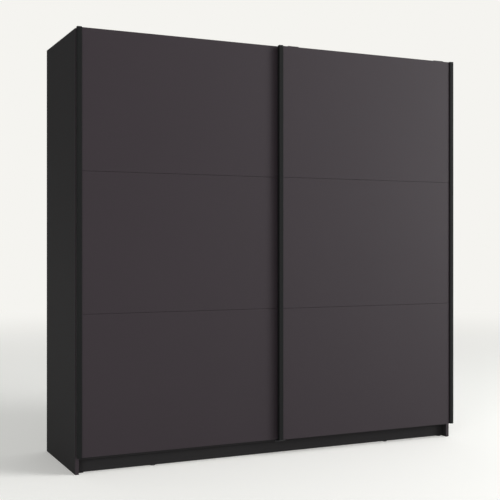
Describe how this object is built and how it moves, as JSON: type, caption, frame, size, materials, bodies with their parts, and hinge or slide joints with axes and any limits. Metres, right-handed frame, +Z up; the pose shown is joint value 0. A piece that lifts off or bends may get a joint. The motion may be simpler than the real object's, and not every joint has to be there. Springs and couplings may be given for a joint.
{
  "type": "sliding door wardrobe",
  "caption": "Tall graphite wardrobe with top-hung sliding doors in black bars, a hat shelf and clothes rail in each compartment, on a recessed plinth.",
  "frame": {"origin": "on the floor, in the middle of the overall width and depth", "axes": "+X to the right when facing the doors, +Y to the back, +Z up; the doors face -Y"},
  "size_m": [2.15, 0.6284, 2.1135],
  "materials": {
    "carcass_board": "melamine-faced particle board, dark graphite, fine satin texture",
    "door_board": "melamine-faced board, graphite with a faint metallic tone, satin",
    "door_bar": "extruded aluminium, powder coated matt black",
    "door_rail": "extruded aluminium, powder coated matt black",
    "back_sheet": "thin lacquered fibreboard",
    "hanger_steel": "pressed steel strip, black coated",
    "zinc_steel": "zinc-plated steel",
    "track_aluminium": "natural anodised extrusion",
    "black_plastic": "moulded plastic",
    "wheel_plastic": "moulded acetal"
  },
  "bodies": {
    "carcass": {"middle_panel": "carcass_board", "plinth_front": "carcass_board", "plinth_rear": "carcass_board", "top_track": "track_aluminium", "bottom_guide": "black_plastic", "side_panel_left": "carcass_board", "bottom_panel_left": "carcass_board", "top_panel_left": "carcass_board", "back_panel_left_inner": "back_sheet", "back_panel_left_outer": "back_sheet", "back_strip_left": "black_plastic", "shelf_left": "carcass_board", "clothes_rail_left": "zinc_steel", "rail_socket_left_outer": "zinc_steel", "rail_socket_left_inner": "zinc_steel", "plinth_glide_left_outer": "black_plastic", "plinth_glide_left_inner": "black_plastic", "track_stop_left": "black_plastic", "wall_bracket_left": "zinc_steel", "side_panel_right": "carcass_board", "bottom_panel_right": "carcass_board", "top_panel_right": "carcass_board", "back_panel_right_inner": "back_sheet", "back_panel_right_outer": "back_sheet", "back_strip_right": "black_plastic", "shelf_right": "carcass_board", "clothes_rail_right": "zinc_steel", "rail_socket_right_outer": "zinc_steel", "rail_socket_right_inner": "zinc_steel", "plinth_glide_right_outer": "black_plastic", "plinth_glide_right_inner": "black_plastic", "track_stop_right": "black_plastic", "wall_bracket_right": "zinc_steel"},
    "left_door": {"left_door_bar_left": "door_bar", "left_door_bar_right": "door_bar", "left_door_board_lower": "door_board", "left_door_board_middle": "door_board", "left_door_board_upper": "door_board", "left_door_top_rail": "door_rail", "left_door_bottom_rail": "door_rail", "left_door_cross_rail_lower": "door_rail", "left_door_cross_rail_upper": "door_rail", "left_door_hanger_left": "hanger_steel", "left_door_hanger_right": "hanger_steel"},
    "right_door": {"right_door_bar_left": "door_bar", "right_door_bar_right": "door_bar", "right_door_board_lower": "door_board", "right_door_board_middle": "door_board", "right_door_board_upper": "door_board", "right_door_top_rail": "door_rail", "right_door_bottom_rail": "door_rail", "right_door_cross_rail_lower": "door_rail", "right_door_cross_rail_upper": "door_rail", "right_door_hanger_left": "hanger_steel", "right_door_hanger_right": "hanger_steel"},
    "left_door_wheel_left": {"left_door_wheel_left": "wheel_plastic"},
    "left_door_wheel_right": {"left_door_wheel_right": "wheel_plastic"},
    "right_door_wheel_left": {"right_door_wheel_left": "wheel_plastic"},
    "right_door_wheel_right": {"right_door_wheel_right": "wheel_plastic"}
  },
  "joints": [
    {"name": "left_door_slide", "type": "slide", "parent": "carcass", "child": "left_door", "axis": [1, 0, 0], "range_m": [0, 1.0485]},
    {"name": "right_door_slide", "type": "slide", "parent": "carcass", "child": "right_door", "axis": [1, 0, 0], "range_m": [-1.0485, 0]},
    {"name": "left_door_wheel_left_spin", "type": "hinge", "parent": "left_door", "child": "left_door_wheel_left", "pos_m": [-0.9815, -0.24575, 2.0793], "axis": [0, 1, 0], "range_deg": [0, 4020]},
    {"name": "left_door_wheel_right_spin", "type": "hinge", "parent": "left_door", "child": "left_door_wheel_right", "pos_m": [-0.067, -0.24575, 2.0793], "axis": [0, 1, 0], "range_deg": [0, 4020]},
    {"name": "right_door_wheel_left_spin", "type": "hinge", "parent": "right_door", "child": "right_door_wheel_left", "pos_m": [0.067, -0.21775, 2.0793], "axis": [0, 1, 0], "range_deg": [-4020, 0]},
    {"name": "right_door_wheel_right_spin", "type": "hinge", "parent": "right_door", "child": "right_door_wheel_right", "pos_m": [0.9815, -0.21775, 2.0793], "axis": [0, 1, 0], "range_deg": [-4020, 0]}
  ],
  "couplings": [
    {"joint": "left_door_wheel_left_spin", "follows": "left_door_slide", "rad_per_m": 66.667},
    {"joint": "left_door_wheel_right_spin", "follows": "left_door_slide", "rad_per_m": 66.667},
    {"joint": "right_door_wheel_left_spin", "follows": "right_door_slide", "rad_per_m": 66.667},
    {"joint": "right_door_wheel_right_spin", "follows": "right_door_slide", "rad_per_m": 66.667}
  ]
}
